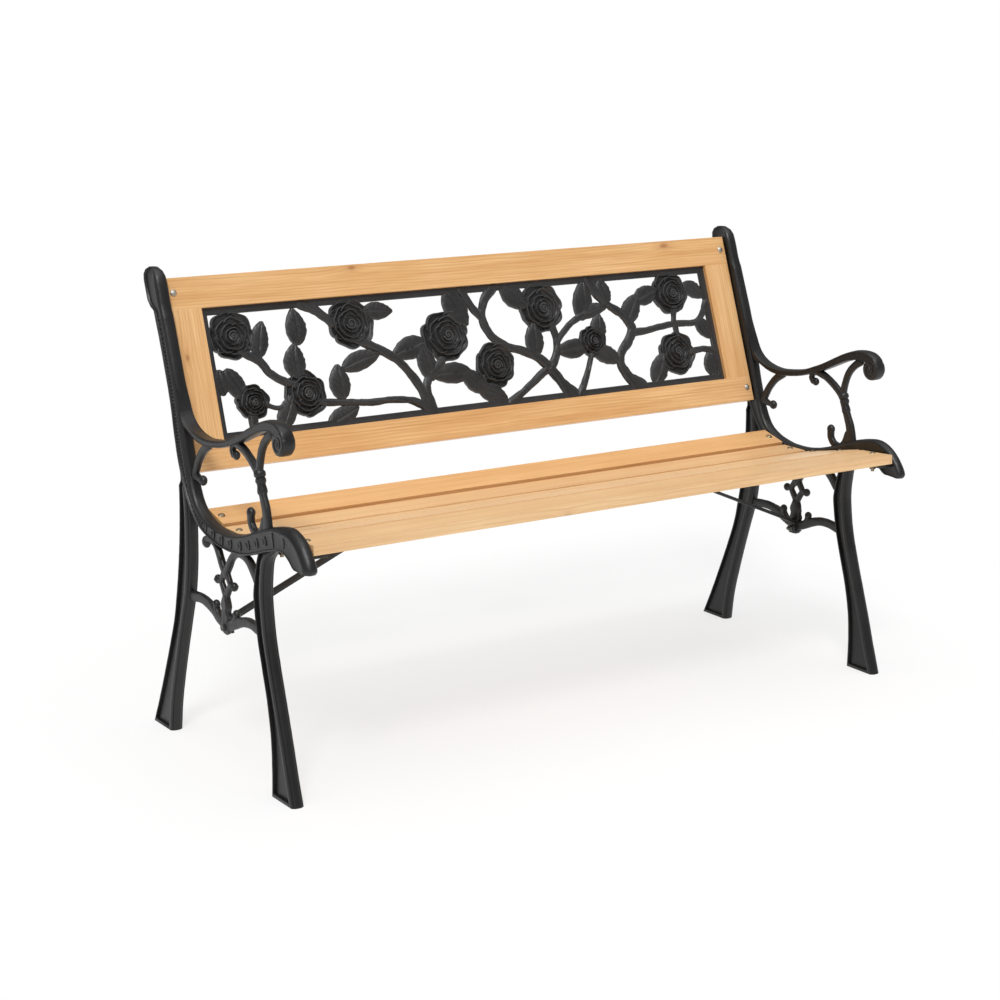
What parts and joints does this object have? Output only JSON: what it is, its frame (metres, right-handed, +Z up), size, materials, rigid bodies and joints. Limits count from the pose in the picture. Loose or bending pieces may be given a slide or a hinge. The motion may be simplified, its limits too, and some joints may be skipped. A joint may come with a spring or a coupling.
{
  "type": "garden bench",
  "caption": "Slatted pine garden bench with scrolled cast-iron end frames and an openwork rose panel in the back.",
  "frame": {"origin": "on the ground, in the middle of the bench's length and depth", "axes": "+X along the bench to the right as seen from the front, +Y to the back, +Z up"},
  "size_m": [1.22, 0.536, 0.7721],
  "materials": {
    "iron": "satin charcoal paint over cast texture",
    "pine": "clear satin varnish",
    "dowel_wood": "bare",
    "brace_iron": "satin dark paint",
    "zinc": "zinc plated"
  },
  "bodies": {
    "root": {"left_end_frame": "iron", "right_end_frame": "iron", "seat_slat_1": "pine", "seat_slat_2": "pine", "seat_slat_3": "pine", "seat_slat_4": "pine", "seat_slat_5": "pine", "back_top_rail": "pine", "back_bottom_rail": "pine", "back_left_stile": "pine", "back_right_stile": "pine", "back_dowels": "dowel_wood", "rose_panel": "iron", "left_seat_brace": "brace_iron", "right_seat_brace": "brace_iron", "seat_bolts": "zinc", "seat_bolt_washers": "zinc", "seat_bolt_nuts": "zinc", "back_bolts": "zinc", "back_bolt_washers": "zinc", "back_bolt_nuts": "zinc", "brace_bolts": "zinc", "brace_bolt_washers": "zinc", "brace_bolt_nuts": "zinc", "brace_screws": "zinc"}
  },
  "joints": []
}
